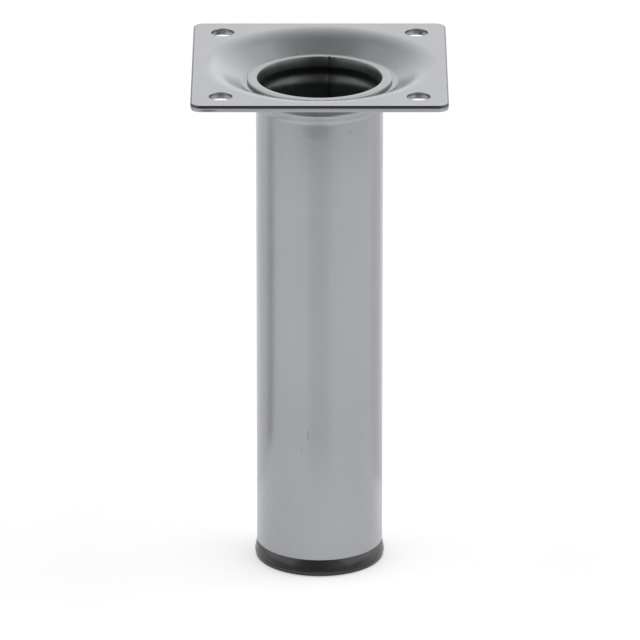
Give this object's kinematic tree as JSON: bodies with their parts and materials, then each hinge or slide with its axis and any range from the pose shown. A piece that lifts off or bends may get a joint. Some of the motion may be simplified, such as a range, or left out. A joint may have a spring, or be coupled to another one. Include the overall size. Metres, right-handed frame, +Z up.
{
  "type": "furniture leg",
  "caption": "Round steel furniture leg with a square screw-on plate clamped to its flared top end and a black plastic foot pushed into its lower end.",
  "frame": {"origin": "centre of the foot's underside, on the floor", "axes": "+Z up along the tube to the mounting plate, X and Y along the plate's sides"},
  "size_m": [0.06, 0.06, 0.124],
  "materials": {
    "grey_coat": "satin silver-grey powder coat on steel, bare dark steel inside the tube",
    "black_plastic": "moulded black, slightly satin"
  },
  "bodies": {
    "root": {"leg_tube": "grey_coat", "mounting_plate": "grey_coat", "foot_cap": "black_plastic"}
  },
  "joints": []
}
